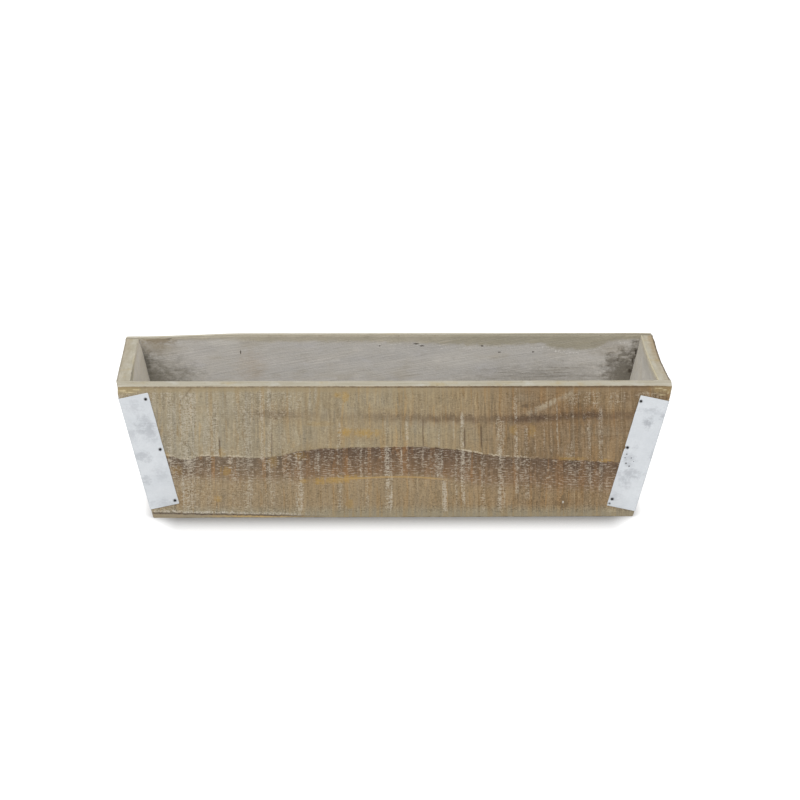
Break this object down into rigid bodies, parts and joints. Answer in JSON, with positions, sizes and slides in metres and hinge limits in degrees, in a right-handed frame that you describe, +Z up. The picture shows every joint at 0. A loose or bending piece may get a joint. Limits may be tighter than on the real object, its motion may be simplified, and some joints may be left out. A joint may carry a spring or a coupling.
{
  "type": "herb planter",
  "caption": "Long open wooden trough planter with outward-leaning walls, a let-in bottom board and bent zinc corner brackets held by tacks.",
  "frame": {"origin": "on the table, under the middle of the trough", "axes": "+X along the trough to the right as seen from the front, +Y towards the back, +Z up"},
  "size_m": [0.508, 0.1588, 0.1346],
  "materials": {
    "front_wood": "rough-sawn, brown and grey with a thin white wash",
    "back_wood": "warm grey wash, matt",
    "end_wood": "warm grey wash, matt",
    "bottom_wood": "warm grey wash, matt",
    "zinc_sheet": "pale galvanised zinc with cloudy grey patches",
    "black_tack": "dull black",
    "brad_steel": "dull, washed over with the wood"
  },
  "bodies": {
    "root": {"front_board": "front_wood", "back_board": "back_wood", "left_end_board": "end_wood", "right_end_board": "end_wood", "bottom_board": "bottom_wood", "front_left_bracket": "zinc_sheet", "front_right_bracket": "zinc_sheet", "back_left_bracket": "zinc_sheet", "back_right_bracket": "zinc_sheet", "front_left_bracket_tacks": "black_tack", "front_right_bracket_tacks": "black_tack", "back_left_bracket_tacks": "black_tack", "back_right_bracket_tacks": "black_tack", "front_left_corner_brads": "brad_steel", "front_right_corner_brads": "brad_steel", "back_left_corner_brads": "brad_steel", "back_right_corner_brads": "brad_steel", "front_bottom_brads": "brad_steel", "back_bottom_brads": "brad_steel", "left_bottom_brads": "brad_steel", "right_bottom_brads": "brad_steel"}
  },
  "joints": []
}
